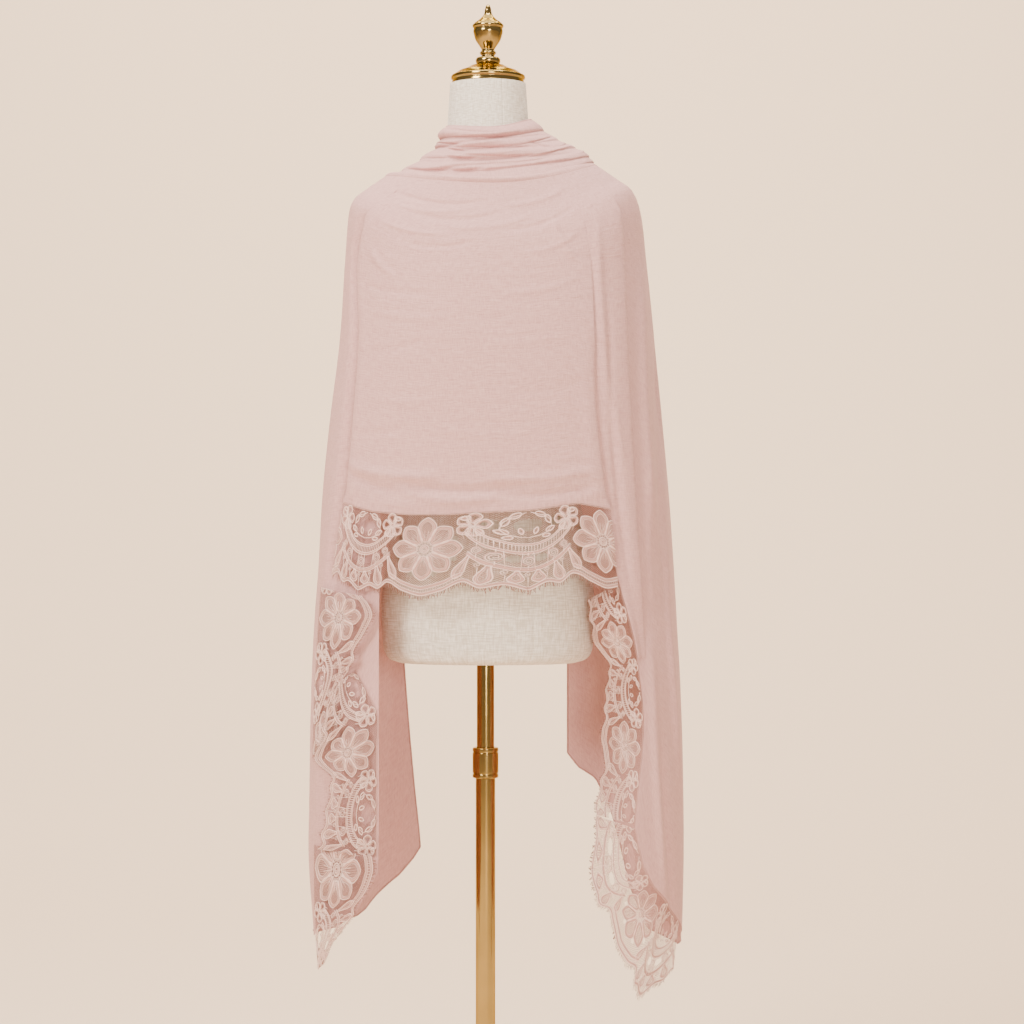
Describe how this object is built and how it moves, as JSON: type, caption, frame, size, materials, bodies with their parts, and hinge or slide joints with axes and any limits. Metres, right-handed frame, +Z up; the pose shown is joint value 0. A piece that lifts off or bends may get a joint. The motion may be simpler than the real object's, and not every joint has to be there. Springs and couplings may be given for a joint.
{
  "type": "lace-edged hijab on a limbless dress form stand",
  "caption": "Woven headscarf with a scalloped lace border, wound round the neck of a linen form on a telescopic brass stand, its two tails hanging open.",
  "frame": {"origin": "middle of the base's underside, on the pole's axis", "axes": "+Z up along the pole, the front of the form facing -Y, +X towards the right of the picture"},
  "size_m": [0.519, 0.32, 1.636],
  "materials": {
    "brass": "polished, lacquered",
    "linen": "slubbed plain-weave linen, stretched over the form",
    "woven_cloth": "soft crinkled viscose weave, matt",
    "lace": "corded net lace, slightly lustrous thread"
  },
  "bodies": {
    "base": {"base_plate": "brass", "lower_tube": "brass", "clamp_collar": "brass"},
    "pole": {"upper_pole": "brass"},
    "form": {"torso": "linen", "neck_cap": "brass", "finial": "brass", "cowl": "woven_cloth", "front_panel": "woven_cloth", "right_fold": "woven_cloth", "right_drape": "woven_cloth", "left_drape": "woven_cloth", "lace_front": "lace", "lace_right_upper": "lace", "lace_right_lower": "lace", "lace_left_upper": "lace", "lace_left_middle": "lace", "lace_left_lower": "lace"}
  },
  "joints": [
    {"name": "height", "type": "slide", "parent": "base", "child": "pole", "axis": [0, 0, 1], "range_m": [-0.1, 0.25]},
    {"name": "turn", "type": "hinge", "parent": "pole", "child": "form", "pos_m": [0, 0, 0.7287], "axis": [0, 0, 1], "continuous": true}
  ]
}
